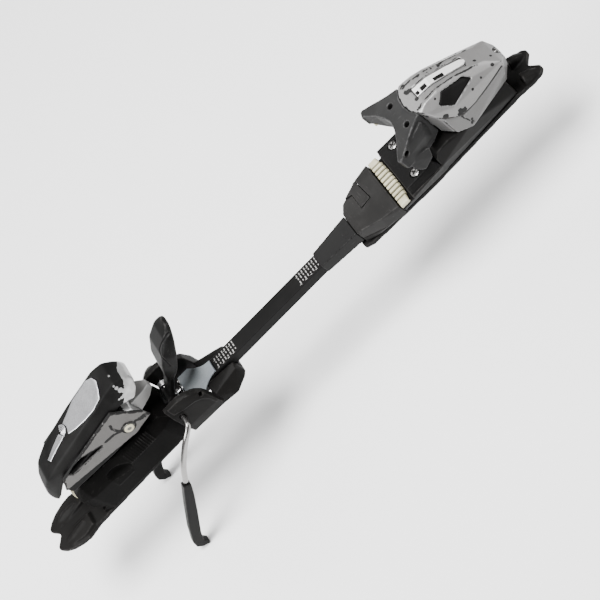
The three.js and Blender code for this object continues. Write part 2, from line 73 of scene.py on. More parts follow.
TOE_SPRING_Z = 42
HEEL_SPRING_Z = 61.5
PRESSURE_SPRING_Z = 29


# ---------------------------------------------------------------- mesh tools
def link(name, mesh):
    obj = bpy.data.objects.new(name, mesh)
    bpy.context.scene.collection.objects.link(obj)
    return obj


def to_object(name, bm, scale=MM):
    bmesh.ops.recalc_face_normals(bm, faces=bm.faces)
    mesh = bpy.data.meshes.new(name)
    bmesh.ops.scale(bm, vec=(scale,) * 3, verts=bm.verts)
    bm.to_mesh(mesh)
    bm.free()
    return link(name, mesh)


def hull(points):
    bm = bmesh.new()
    for p in points:
        bm.verts.new(p)
    out = bmesh.ops.convex_hull(bm, input=bm.verts)
    loose = [e for e in out["geom_interior"] + out["geom_unused"] if isinstance(e, bmesh.types.BMVert)]
    bmesh.ops.delete(bm, geom=list(set(loose)), context="VERTS")
    return bm


def prism(outline, axis, low, high):
    """An outline in the two axes other than `axis`, run from low to high along it."""
    orders = {"x": lambda a, b, c: (c, a, b), "y": lambda a, b, c: (a, c, b), "z": lambda a, b, c: (a, b, c)}
    place = orders[axis]
    bm = bmesh.new()
    ends = [[bm.verts.new(place(a, b, c)) for a, b in outline] for c in (low, high)]
    bm.faces.new(ends[0])
    bm.faces.new(ends[1])
    count = len(outline)
    for i in range(count):
        j = (i + 1) % count
        bm.faces.new((ends[0][i], ends[0][j], ends[1][j], ends[1][i]))
    return bm


def box(x0, x1, y0, y1, z0, z1):
    return prism([(x0, y0), (x1, y0), (x1, y1), (x0, y1)], "z", z0, z1)


def across(direction):
    """Two unit vectors square to a direction."""
    d = Vector(direction).normalized()
    side = d.cross(Vector((0, 0, 1)) if abs(d.z) < 0.9 else Vector((1, 0, 0))).normalized()
    return side, d.cross(side)


def skin(rings, closed=False):
    """Joins rings of points with quads, and caps the two ends."""
    bm = bmesh.new()
    made = [[bm.verts.new(p) for p in ring] for ring in rings]
    pairs = list(zip(made, made[1:])) + ([(made[-1], made[0])] if closed else [])
    for a, b in pairs:
        for i in range(len(a)):
            j = (i + 1) % len(a)
            bm.faces.new((a[i], a[j], b[j], b[i]))
    if not closed:
        bm.faces.new(made[0])
        bm.faces.new(made[-1])
    return bm


def turned(a, b, profile, sides=40):
    """A round solid on the line a to b; profile is [(distance from a, radius), ...]."""
    a, b = Vector(a), Vector(b)
    along = (b - a).normalized()
    u, v = across(along)
    angles = [2 * math.pi * i / sides for i in range(sides)]
    rings = [[a + along * s + (u * math.cos(t) + v * math.sin(t)) * max(r, 0.02) for t in angles]
             for s, r in profile]
    return skin(rings)


def cylinder(a, b, radius, sides=32):
    length = (Vector(b) - Vector(a)).length
    return turned(a, b, [(0, radius), (length, radius)], sides)


def tube(points, radius, sides=12):
    """A round bar through points, with parallel-transported rings; radius may be one per point."""
    points = [Vector(p) for p in points]
    radii = radius if isinstance(radius, (list, tuple)) else [radius] * len(points)
    tangents = [(points[min(i + 1, len(points) - 1)] - points[max(i - 1, 0)]).normalized()
                for i in range(len(points))]
    angles = [2 * math.pi * k / sides for k in range(sides)]
    u, _ = across(tangents[0])
    rings = []
    for p, along, r in zip(points, tangents, radii):
        u = (u - along * u.dot(along)).normalized()
        v = along.cross(u)
        rings.append([p + (u * math.cos(t) + v * math.sin(t)) * r for t in angles])
    return skin(rings)


def smooth_path(points, per_span=8):
    """Catmull-Rom points through the given ones."""
    pts = [Vector(p) for p in points]
    pts = [pts[0] * 2 - pts[1]] + pts + [pts[-1] * 2 - pts[-2]]
    out = []
    for i in range(1, len(pts) - 2):
        a, b, c, d = pts[i - 1:i + 3]
        for k in range(per_span):
            t = k / per_span
            out.append(0.5 * ((2 * b) + (c - a) * t + (2 * a - 5 * b + 4 * c - d) * t * t
                              + (3 * b - a - 3 * c + d) * t ** 3))
    return out + [pts[-2]]


def mirrored(points):
    return [p for x, y, z in points for p in ((x, y, z), (x, -y, z))]


def flipped(points):
    return [(x, -y, z) for x, y, z in points]


def merged_bm(parts):
    """Several solids in one bmesh, each still closed."""
    bm = bmesh.new()
    for part in parts:
        mesh = bpy.data.meshes.new("part")
        bmesh.ops.recalc_face_normals(part, faces=part.faces)
        part.to_mesh(mesh)
        part.free()
        bm.from_mesh(mesh)
        bpy.data.meshes.remove(mesh)
    return bm


def cad_copy(node, simplify=False):
    """The CAD node's mesh in millimetres, with its shared vertices joined."""
    bm = bmesh.new()
    bm.from_mesh(NODES[node].data)
    bmesh.ops.scale(bm, vec=(PER_METRE,) * 3, verts=bm.verts)
    bmesh.ops.remove_doubles(bm, verts=bm.verts, dist=0.002)
    if simplify:
        bmesh.ops.dissolve_limit(bm, angle_limit=0.01, verts=bm.verts, edges=bm.edges)
    return bm


def evaluated(obj):
    """The object with its modifiers worked into its mesh."""
    graph = bpy.context.evaluated_depsgraph_get()
    mesh = bpy.data.meshes.new_from_object(obj.evaluated_get(graph))
    obj.modifiers.clear()
    old = obj.data
    obj.data = mesh
    bpy.data.meshes.remove(old)
    return obj


def carve(obj, adds=(), cuts=()):
    """Booleans with closed solids."""
    tools = []
    for operation, solids in (("UNION", adds), ("DIFFERENCE", cuts)):
        for bm in solids:
            tool = to_object("tool", bm)
            mod = obj.modifiers.new("carve", "BOOLEAN")
            mod.operation = operation
            mod.object = tool
            mod.solver = "EXACT"
            tools.append(tool)
    if tools:
        evaluated(obj)
    for tool in tools:
        mesh = tool.data
        bpy.data.objects.remove(tool)
        bpy.data.meshes.remove(mesh)
    return obj


def melt(obj, voxel, rounds):
    """Voxel remesh and smoothing: every corner gets the small radius of a moulding."""
    mod = obj.modifiers.new("remesh", "REMESH")
    mod.mode = "VOXEL"
    mod.voxel_size = voxel * MM
    mod.use_smooth_shade = True
    soft = obj.modifiers.new("smooth", "SMOOTH")
    soft.factor = 0.5
    soft.iterations = rounds
    return evaluated(obj)


def points_of(obj):
    co = np.empty(len(obj.data.vertices) * 3)
    obj.data.vertices.foreach_get("co", co)
    return co.reshape(-1, 3) * PER_METRE


def store(obj, name, values):
    layer = obj.data.attributes.new(name, "FLOAT", "POINT")
    layer.data.foreach_set("value", np.clip(values, 0, 1).astype(np.float32))


def mark_edges(obj, gain=1.0):
    """Stores how convex and how concave the surface is at each point, as `edge` and `pit`."""
    mesh = obj.data
    co = points_of(obj)
    pairs = np.empty(len(mesh.edges) * 2, int)
    mesh.edges.foreach_get("vertices", pairs)
    a, b = pairs.reshape(-1, 2).T
    normal = np.empty(len(co) * 3)
    mesh.vertices.foreach_get("normal", normal)
    normal = normal.reshape(-1, 3)
    degree = np.bincount(a, minlength=len(co)) + np.bincount(b, minlength=len(co))

    def around(values):
        total = np.zeros_like(values)
        np.add.at(total, a, values[b])
        np.add.at(total, b, values[a])
        return total / np.maximum(degree, 1).reshape((-1,) + (1,) * (values.ndim - 1))

    bend = ((co - around(co)) * normal).sum(1)
    for _ in range(3):
        bend = 0.5 * bend + 0.5 * around(bend)
    size = np.median(np.linalg.norm(co[a] - co[b], axis=1))
    bend = bend / size * 14 * gain
    store(obj, "edge", bend)
    store(obj, "pit", -bend)


def finish_piece(obj, node, material, extra_nodes=(), body=None):
    obj.data.materials.clear()
    obj.data.materials.append(material)
    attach(obj, body or BODY_OF[node])
    if node and node in NODES:
        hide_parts(node, *extra_nodes)
    return obj


def moulding(node, material, voxel=0.6, rounds=5, adds=(), cuts=(), gain=1.0, masks=None,
             soft=0):
    """A CAD node remade with extra solids and cuts, then softened like a moulded part.

    With soft, the CAD shape is smoothed by so many rounds before anything is added or cut.
    """
    obj = to_object(node + "_skin", cad_copy(node))
    if soft:
        melt(obj, 0.8, soft)
    carve(obj, adds, cuts)
    melt(obj, voxel, rounds)
    mark_edges(obj, gain)
    for name, values in (masks or {}).items():
        store(obj, name, values(points_of(obj)))
    return finish_piece(obj, node, material)


def machined(obj, width=0.25, segments=2):
    """Small bevels on a crisp part."""
    bevel = obj.modifiers.new("bevel", "BEVEL")
    bevel.width = width * MM
    bevel.segments = segments
    bevel.limit_method = "ANGLE"
    bevel.angle_limit = math.radians(30)
    bevel.harden_normals = False
    evaluated(obj)
    obj.data.shade_smooth()
    mod = obj.modifiers.new("normals", "WEIGHTED_NORMAL")
    mod.keep_sharp = True
    evaluated(obj)
    return obj


def crisp(name, bm, node, material, width=0.25, segments=2, body=None):
    obj = machined(to_object(name, bm), width, segments)
    return finish_piece(obj, node, material, body=body)


# ---------------------------------------------------------------- materials
class Shade:
    """Builds one procedural material out of a few node idioms."""

    def __init__(self, name):
        self.mat = bpy.data.materials.new(name)
        self.mat.use_nodes = True
        self.tree = self.mat.node_tree
        self.shader = self.tree.nodes["Principled BSDF"]
        self.place = self.tree.nodes.new("ShaderNodeTexCoord").outputs["Object"]

    def node(self, kind, **inputs):
        made = self.tree.nodes.new(kind)
        for key, value in inputs.items():
            self.feed(made.inputs[key], value)
        return made

    def feed(self, socket, value):
        if isinstance(value, bpy.types.NodeSocket):
            self.tree.links.new(value, socket)
        else:
            socket.default_value = value

    def stretch(self, x, y, z):
        return self.node("ShaderNodeMapping", Vector=self.place, Scale=(x, y, z)).outputs[0]

    def noise(self, scale, detail=3.0, rough=0.55, vector=None):
        made = self.node("ShaderNodeTexNoise", Vector=vector or self.place, Scale=scale, Detail=detail)
        made.inputs["Roughness"].default_value = rough
        return made.outputs["Fac"]

    def math(self, kind, a, b=0.0, c=0.0):
        made = self.tree.nodes.new("ShaderNodeMath")
        made.operation = kind
        for socket, value in zip(made.inputs, (a, b, c)):
            self.feed(socket, value)
        return made.outputs[0]

    def band(self, value, low, high):
        """0 below low, 1 above high, smooth between."""
        made = self.tree.nodes.new("ShaderNodeMapRange")
        made.interpolation_type = "SMOOTHSTEP"
        for key, v in (("Value", value), ("From Min", low), ("From Max", high)):
            self.feed(made.inputs[key], v)
        return made.outputs["Result"]

    def mix(self, fac, a, b):
        made = self.tree.nodes.new("ShaderNodeMix")
        made.data_type = "RGBA"
        for key, v in (("Factor", fac), ("A", a), ("B", b)):
            sockets = [s for s in made.inputs if s.name == key and (key == "Factor" or s.type == "RGBA")]
            self.feed(sockets[0], v)
        return [s for s in made.outputs if s.type == "RGBA"][0]

    def blend(self, fac, a, b):
        """A number between a and b."""
        made = self.tree.nodes.new("ShaderNodeMapRange")
        for key, v in (("Value", fac), ("To Min", a), ("To Max", b)):
            self.feed(made.inputs[key], v)
        return made.outputs["Result"]

    def attribute(self, name):
        made = self.tree.nodes.new("ShaderNodeAttribute")
        made.attribute_name = name
        return made.outputs["Fac"]

    def rubbed_edge(self):
        """The convex edges, broken up by noise."""
        ragged = self.blend(self.noise(300, 5, 0.7), -0.3, 1.6)
        return self.band(self.math("MULTIPLY", self.attribute("edge"), ragged), 0.3, 1.0)

    def bump(self, height, strength, distance):
        return self.node("ShaderNodeBump", Height=height, Strength=strength, Distance=distance).outputs[0]

    def set(self, **inputs):
        names = {"colour": "Base Color", "rough": "Roughness", "metal": "Metallic", "normal": "Normal",
                 "coat": "Coat Weight", "coat_rough": "Coat Roughness", "level": "Specular IOR Level"}
        for key, value in inputs.items():
            self.feed(self.shader.inputs[names[key]], value)
        return self.mat


def rgb(r, g, b):
    return (r, g, b, 1.0)


def grey(v, warm=0.0):
    return rgb(v * (1 + warm), v, v * (1 - warm))


def plastic(name, tone, rough, grain=0.35, warm=0.02, wear=0.16, scuff=0.5, coat=0.0, level=0.06):
    """Moulded plastic: fine grain, cloudy tone, hairline scuffs, rubbed edges and painted shade in its
    hollows.
    """
    s = Shade(name)
    cloud = s.noise(38, 4)
    base = s.mix(s.band(cloud, 0.35, 0.7), grey(tone * 0.82, warm), grey(tone * 1.2, warm))
    line_a = s.band(s.noise(150, 2, 0.5, s.stretch(1, 14, 3)), 0.66, 0.72)
    line_b = s.band(s.noise(120, 2, 0.5, s.stretch(9, 1.2, 6)), 0.68, 0.73)
    scratch = s.math("MULTIPLY", s.math("MAXIMUM", line_a, line_b), s.band(s.noise(22, 2), 0.48, 0.62))
    edge = s.rubbed_edge()
    # painted shade: the colour goes darker where the surface is concave
    hollow_shade = s.math("MULTIPLY", s.attribute("pit"), 0.3)
    worn = s.mix(s.math("MULTIPLY", edge, 0.55), base, grey(wear, warm))
    worn = s.mix(s.math("MULTIPLY", scratch, scuff * 0.5), worn, grey(wear * 1.1, warm))
    colour = s.mix(hollow_shade, worn, grey(tone * 0.3, 0.06))
    fine = s.noise(2600, 2, 0.6)
    height = s.math("ADD", s.math("MULTIPLY", fine, grain), s.math("MULTIPLY", scratch, -0.25))
    roughness = s.blend(s.math("ADD", s.math("MULTIPLY", cloud, 0.6), s.math("MULTIPLY", edge, 0.4)),
                        rough - 0.08, rough + 0.12)
    return s.set(colour=colour, rough=roughness, normal=s.bump(height, 0.5, 0.00012), coat=coat,
                 coat_rough=0.25, level=level)


def painted_silver(name, tone=0.55, warm=0.015, chips=1.0, rough=0.34, dark=0.012, mask=None):
    """Silver paint on plastic: fine flake, smudges, chips through to black along edges, painted highlights on
    convex edges and painted shade in hollows and low on the sides.
    """
    s = Shade(name)
    cloud = s.noise(26, 4)
    base = s.mix(s.band(cloud, 0.3, 0.72), grey(tone * 0.86, warm), grey(tone * 1.08, warm))
    flake = s.noise(5200, 1, 0.5)
    base = s.mix(s.band(flake, 0.35, 0.75), base, grey(tone * 1.22, warm))
    rub = s.band(s.noise(70, 5, 0.65), 0.52, 0.7)
    base = s.mix(s.math("MULTIPLY", rub, 0.22), base, rgb(tone * 0.78, tone * 0.70, tone * 0.68))
    bite = s.math("MULTIPLY", s.attribute("edge"), s.blend(s.noise(260, 6, 0.7), -0.35, 1.75))
    spots = s.math("MULTIPLY", s.band(s.noise(190, 5, 0.6), 0.69, 0.72), s.band(s.noise(24, 2), 0.5, 0.64))
    chip = s.math("MAXIMUM", s.band(bite, 0.62, 0.70), spots)
    if mask:
        coarse = s.math("MULTIPLY", s.noise(250, 4, 0.6), 0.62)
        fine = s.math("MULTIPLY", s.noise(800, 4, 0.7), 0.38)
        ragged = s.math("ADD", coarse, fine)
        border = s.math("MULTIPLY", s.attribute(mask), s.blend(ragged, -0.9, 2.6))
        chip = s.math("MAXIMUM", chip, s.band(border, 0.5, 0.56))
    chip = s.math("MULTIPLY", chip, chips)
    # painted shade on the lower sides, below the toe housing's belt line
    base = s.mix(s.math("MULTIPLY", s.attribute("side_shade"), 0.6), base, grey(tone * 0.34, warm))
    # painted highlight: convex edges lightened towards a paler grey
    edge_highlight = s.math("MULTIPLY", s.band(s.attribute("edge"), 0.3, 0.9), 0.5)
    base = s.mix(edge_highlight, base, grey(min(tone * 1.4, 0.85), 0.0))
    colour = s.mix(chip, base, grey(dark, 0.02))
    # painted shade: near black where the surface is concave, in creases, grooves and recesses
    colour = s.mix(s.band(s.attribute("pit"), 0.12, 0.7), colour, grey(0.03, 0.05))
    dull = s.math("ADD", s.math("MULTIPLY", chip, 0.7), s.math("MULTIPLY", cloud, 0.3))
    roughness = s.blend(dull, rough, rough + 0.3)
    metal = s.blend(chip, 0.45, 0.0)
    height = s.math("ADD", s.math("MULTIPLY", chip, -1.0), s.math("MULTIPLY", s.noise(900, 3), 0.12))
    return s.set(colour=colour, rough=roughness, metal=metal, normal=s.bump(height, 0.6, 0.00012),
                 level=0.15)


def metal(name, colour, rough, brush=(1, 1, 1), streak=0.12, stain=None):
    """Bare or plated metal with brush lines and dull stains."""
    s = Shade(name)
    lines = s.noise(700, 4, 0.6, s.stretch(*brush))
    cloud = s.noise(60, 4, 0.6)
    low = tuple(c * (1 - streak) for c in colour[:3]) + (1.0,)
    high = tuple(min(c * (1 + streak), 1) for c in colour[:3]) + (1.0,)
    base = s.mix(s.band(lines, 0.35, 0.65), low, high)
    base = s.mix(s.math("MULTIPLY", s.band(cloud, 0.5, 0.75), 0.4), base, stain or grey(0.22, 0.08))
    roughness = s.blend(s.math("ADD", s.math("MULTIPLY", lines, 0.5), s.math("MULTIPLY", cloud, 0.5)),
                        rough - 0.06, rough + 0.16)
    return s.set(colour=base, rough=roughness, metal=1.0, normal=s.bump(lines, 0.12, 0.00004))


def cream_plastic(name):
    """Yellowed plastic, dark brown where the surface is concave, with smears on its faces."""
    s = Shade(name)
    cloud = s.noise(55, 5, 0.6)
    base = s.mix(s.band(cloud, 0.35, 0.7), rgb(0.40, 0.37, 0.245), rgb(0.54, 0.50, 0.35))
    # dark brown where the surface is concave, in grooves and gaps
    concave_dark = s.band(s.attribute("pit"), 0.04, 0.45)
    smear = s.math("MULTIPLY", s.band(s.noise(160, 4, 0.6, s.stretch(1, 5, 1)), 0.55, 0.75), 0.35)
    base = s.mix(s.math("MAXIMUM", concave_dark, smear), base, rgb(0.09, 0.08, 0.055))
    return s.set(colour=base, rough=0.42, normal=s.bump(s.noise(1500, 2), 0.15, 0.00008))


def half_bare(name):
    """Black moulded skin torn back to bare silver where the `bare` attribute is high, with a painted highlight
    on the silver's convex edges.
    """
    s = Shade(name)
    cloud = s.noise(40, 4)
    black = s.mix(s.band(cloud, 0.35, 0.7), grey(0.005, 0.02), grey(0.009, 0.02))
    edge = s.rubbed_edge()
    black = s.mix(s.math("MULTIPLY", edge, 0.5), black, grey(0.045, 0.02))
    silver = s.mix(s.band(s.noise(90, 4), 0.35, 0.7), grey(0.28, 0.01), grey(0.42, 0.0))
    # painted highlight: convex edges of the bare silver lightened to pale grey
    silver = s.mix(s.math("MULTIPLY", s.band(s.attribute("edge"), 0.2, 0.8), 0.8), silver, grey(0.75))
    coarse = s.blend(s.noise(170, 5, 0.7), -0.42, 0.42)
    fine = s.blend(s.noise(520, 4, 0.6), -0.25, 0.25)
    ragged = s.math("ADD", coarse, fine)
    torn = s.math("ADD", s.attribute("bare"), ragged)
    bare = s.band(torn, 0.49, 0.52)
    roughness = s.blend(bare, 0.5, 0.3)
    height = s.math("ADD", s.math("MULTIPLY", s.noise(2600, 2, 0.6), 0.3), s.math("MULTIPLY", bare, -2.0))
    return s.set(colour=s.mix(bare, black, silver), rough=roughness, metal=s.blend(bare, 0.0, 0.55),
                 normal=s.bump(height, 0.45, 0.00012), level=0.05)


BLACK = plastic("black_plastic", 0.005, 0.46, wear=0.04)
BLACK_BODY = plastic("black_body", 0.006, 0.52, warm=0.05, wear=0.04)
TOE_BLACK = plastic("toe_black", 0.015, 0.50, warm=0.03, wear=0.06)
HEEL_BLACK = plastic("heel_black", 0.003, 0.58, warm=0.05, wear=0.03, level=0.02)
GLOSS = plastic("black_gloss", 0.005, 0.30, grain=0.05, wear=0.03, coat=0.12)
GREY = plastic("grey_plastic", 0.018, 0.50, grain=0.5, warm=0.005, wear=0.11, scuff=0.9)
DARK_GLASS = plastic("window_black", 0.006, 0.40, grain=0.2, wear=0.02)
SILVER = painted_silver("silver_paint", 0.18, mask="rim")
PLATE_SILVER = painted_silver("plate_silver", 0.085, warm=0.035, rough=0.42, mask="rim", dark=0.008)
JAW_SILVER = painted_silver("jaw_silver", 0.20, chips=0.1, rough=0.36)
SATIN = metal("satin_silver", rgb(0.72, 0.72, 0.74), 0.32, streak=0.08, stain=grey(0.34, 0.0))
ZINC = metal("zinc_plate", rgb(0.29, 0.315, 0.33), 0.42, brush=(1, 6, 1), stain=rgb(0.24, 0.26, 0.30))
STEEL = metal("steel", rgb(0.25, 0.245, 0.24), 0.20, brush=(1, 8, 8), stain=grey(0.16, 0.06))
DARK_STEEL = metal("dark_steel", rgb(0.10, 0.10, 0.09), 0.34, brush=(8, 1, 8), stain=grey(0.04, 0.05))
SPRING = metal("spring_steel", rgb(0.40, 0.40, 0.41), 0.28, brush=(6, 1, 1))
CREAM = cream_plastic("cream_plastic")
LEVER_SKIN = half_bare("lever_skin")
PRINT = plastic("print_white", 0.30, 0.55, wear=0.4)
BRIGHT = painted_silver("slot_silver", 0.9, chips=0.4, rough=0.26)


# ---------------------------------------------------------------- shared little shapes
def ellipsoid(centre, half, turn=0.0):
    """A smooth ball stretched to the half sizes and turned about Y."""
    bm = bmesh.new()
    bmesh.ops.create_icosphere(bm, subdivisions=4, radius=1.0)
    place = Matrix.Translation(centre) @ Matrix.Rotation(turn, 4, "Y") @ Matrix.Diagonal((*half, 1.0))
    bmesh.ops.transform(bm, matrix=place, verts=bm.verts)
    return bm


def slab(outline, surface, low, high):
    """A plate that follows a sloping surface: an outline in X and Y between two offsets from it."""
    bm = prism(outline, "z", 0, 1)
    for v in bm.verts:
        v.co.z = surface(v.co.x, v.co.y) + (high if v.co.z > 0.5 else low)
    return bm


def groove(points, radius=0.5, both=False):
    """Round cutters along a line drawn on a surface."""
    lines = [points, flipped(points)] if both else [points]
    return [tube(smooth_path(line, 5), radius, 8) for line in lines]


def coil(axis, low, high, centre, radius, wire, turns):
    """A helix with closed ends; centre is given in the other two axes."""
    steps = int(turns * 22)
    points = []
    for i in range(steps + 1):
        t = i / steps
        a = 2 * math.pi * turns * t
        along = low + wire + (high - low - 2 * wire) * t
        c, s = centre[0] + radius * math.cos(a), centre[1] + radius * math.sin(a)
        points.append((along, c, s) if axis == "x" else (c, along, s))
    return tube(points, wire, 10)


def cross_screw(centre, radius, low, top):
    """A raised countersunk screw with a cross recess and the four fine marks between its arms."""
    x, y = centre
    height = top - low
    profile = [(0, radius * 0.48), (height * 0.55, radius * 0.48), (height * 0.78, radius * 0.96),
               (height * 0.9, radius), (height * 0.97, radius * 0.86), (height, radius * 0.55)]
    obj = to_object("screw", turned((x, y, low), (x, y, top), profile, 48))
    cuts = []
    for i in range(4):
        angle = math.radians(28 + 45 * i)
        wide, deep, reach = (0.7, 2.4, 0.62) if i % 2 == 0 else (0.14, 0.25, 0.8)
        arm = box(-radius * reach, radius * reach, -wide, wide, top - deep, top + 2)
        bmesh.ops.rotate(arm, cent=(0, 0, 0), matrix=Matrix.Rotation(angle, 3, "Z"), verts=arm.verts)
        bmesh.ops.translate(arm, vec=(x, y, 0), verts=arm.verts)
        cuts.append(arm)
    return carve(obj, (), cuts)


def slot_screw(a, b, profile, slot_box):
    """A turned screw with a straight slot."""
    return carve(to_object("screw", turned(a, b, profile, 48)), (), [slot_box])


def rename(obj, name):
    """Gives an object and its mesh one name."""
    obj.name = name
    obj.data.name = name
    return obj


def spread(ends, count):
    """Evenly spaced numbers from one end to the other."""
    low, high = ends
    return [low + (high - low) * i / (count - 1) for i in range(count)]


def near_line(points, line):
    """Distance of each point from a broken line, all in two axes."""
    best = np.full(len(points), 1e9)
    for a, b in zip(line, line[1:]):
        a, b = np.array(a, float), np.array(b, float)
        t = np.clip(((points - a) @ (b - a)) / ((b - a) @ (b - a)), 0, 1)
        best = np.minimum(best, np.linalg.norm(points - a - t[:, None] * (b - a), axis=1))
    return best


def blots(spots):
    """A mask that is 1 at each (x, y, z, radius) and falls to 0 at that radius."""
    def values(co):
        out = np.zeros(len(co))
        for x, y, z, r in spots:
            out = np.maximum(out, 1.7 - 1.7 * np.linalg.norm(co - np.array((x, y, z)), axis=1) / r)
        return out
    return values


def threaded(length, radius, pitch=1.0, depth=0.35):
    """A profile of rings that stands for a thread, ending in a plain part."""
    rings = [(0, radius - depth)]
    s = 0.3
    while s < length - pitch:
        rings += [(s, radius - depth), (s + pitch * 0.4, radius), (s + pitch * 0.55, radius)]
        s += pitch
    return rings + [(length - 0.4, radius - depth), (length, radius)]


def steel_piece(node, a, b, profile, material=None):
    """A turned CAD node remade with small bevels, in zinc plate or steel unless a material is given."""
    obj = to_object(node + "_skin", turned(a, b, profile, 48))
    machined(obj, 0.08, 1)
    return finish_piece(obj, node, material or (ZINC if SLOT_OF[node] == "zinc_steel" else STEEL))


def spring(node, bm):
    """A coil spring in the place of its CAD node."""
    obj = to_object(node + "_skin", bm)
    obj.data.shade_smooth()
    return finish_piece(obj, node, SPRING)


# ---------------------------------------------------------------- parts fixed to the ski
def ski_parts():
    """The band, the two forked tracks and the four screws that hold them."""
    band = to_object("centre_band_skin", cad_copy("centre_band", True))
    machined(band, 0.7, 3)
    finish_piece(band, "centre_band", BLACK)

    fins = [hull([(x, s * y, z) for x, y, z in [
        (256, 6, 4), (256, 15.5, 4), (259, 10, 13.6), (266, 10.6, 10.6), (275, 10.8, 2), (272, 15.4, 2),
        (272, 7, 1.5), (259, 7, 12.6), (259, 14, 12.6)]]) for s in (1, -1)]
    ribs = [tube([(x, s * 5.8, 4.6), (x, s * 15.6, 4.6)], 0.7, 8) for s in (1, -1)
            for x in spread((249.5, 255), 3)]
    moulding("front_track", BLACK_BODY, 0.62, 16, adds=fins, cuts=ribs)

    boats = [hull([(x, s * y, z) for x, y, z in [
        (-262.5, 6, 4), (-262.5, 21, 3.6), (-268, 10.4, 9.2), (-283, 12.4, 7.6),
        (-303, 10.6, 2), (-297, 5, 1.2), (-291, 20.6, 2.4), (-275, 24, 3.4)]]) for s in (1, -1)]
    split = groove([(-264, 5.2, 8.6), (-268, 6.6, 7.6), (-282, 7.4, 6), (-296, 2.2, 3)], 0.8)
    moulding("rear_track", BLACK_BODY, 0.62, 16, adds=boats, cuts=split)

    for node in ("front_track_screw_1", "front_track_screw_2", "rear_track_screw_1", "rear_track_screw_2"):
        low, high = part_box(node)
        centre = ((low.x + high.x) / 2 * PER_METRE, (low.y + high.y) / 2 * PER_METRE)
        radius = (high.x - low.x) / 2 * PER_METRE * 0.998
        screw = cross_screw(centre, radius, low.z * PER_METRE, high.z * PER_METRE)
        rename(screw, node + "_skin")
        machined(screw, 0.08, 1)
        finish_piece(screw, node, STEEL)


def scale_marks():
    """Plain length marks printed across the band: three rows of short bars, no letters or digits."""
    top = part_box("centre_band")[1].z * PER_METRE
    for name, start, step in (("toe_scale_marks", 35.0, -3.0), ("heel_scale_marks", -64.5, -3.0)):
        bars = []
        for i in range(8):
            x = start + step * i
            for y, half in ((4.4, 1.2), (0.9, 0.9 if i % 2 else 1.4), (-3.2, 1.5 if i % 3 else 0.8)):
                bars.append(box(x - 0.5, x + 0.5, y - half, y + half, top - 0.15, top + 0.05))
            if i % 2:
                bars.append(box(x - 1.6, x + 0.6, -5.7, -5.1, top - 0.15, top + 0.05))
                bars.append(box(x - 1.6, x + 0.4, 3.0, 3.5, top - 0.15, top + 0.05))
        crisp(name, merged_bm(bars), "centre_band", PRINT, 0.1, 1, body="ski_mount")


# ---------------------------------------------------------------- toe piece
ROOF = [(182, 76.4), (192, 76.9), (207, 75.6), (222, 69.6), (235, 63.4), (248, 56)]


def roof_height(x):
    return float(np.interp(x, [p[0] for p in ROOF], [p[1] for p in ROOF]))


def toe_cup():
    """The one-piece cup with its two wings, their skirts and the cream pads under them."""
    top_holes = [(171.4, 11.0, 74.6), (172.4, -14.6, 74.7)]
    side_holes = [(155.6, 30.6, 67.4), (156.6, -30.6, 67.4)]
    cuts = [cylinder((x, y, z - 8), (x, y, z + 6), 2.6) for x, y, z in top_holes]
    for x, y, z in side_holes:
        outward = np.sign(y)
        cuts.append(cylinder((x, y - 7 * outward, z), (x, y + 6 * outward, z), 2.4))
    skirts = [hull([(x, s * y, z) for x, y, z in [
        (151, 31, 54), (156, 26.4, 54), (150.4, 31, 47), (156, 30, 37), (157.6, 26.6, 35.6),
        (167, 28.2, 40), (168, 24, 40.4), (171, 26, 49), (160, 24.6, 56), (153, 31.6, 60)]]) for s in (1, -1)]
    moulding("toe_cup", GREY, 0.55, 13, adds=skirts, cuts=cuts, gain=1.1)
    for side, s in SIDES:
        low_end = box(140, 175, *sorted((s * 20, s * 40)), 40, 53.4)
        moulding("wing_pad_" + side, CREAM, 0.4, 5, cuts=[low_end])


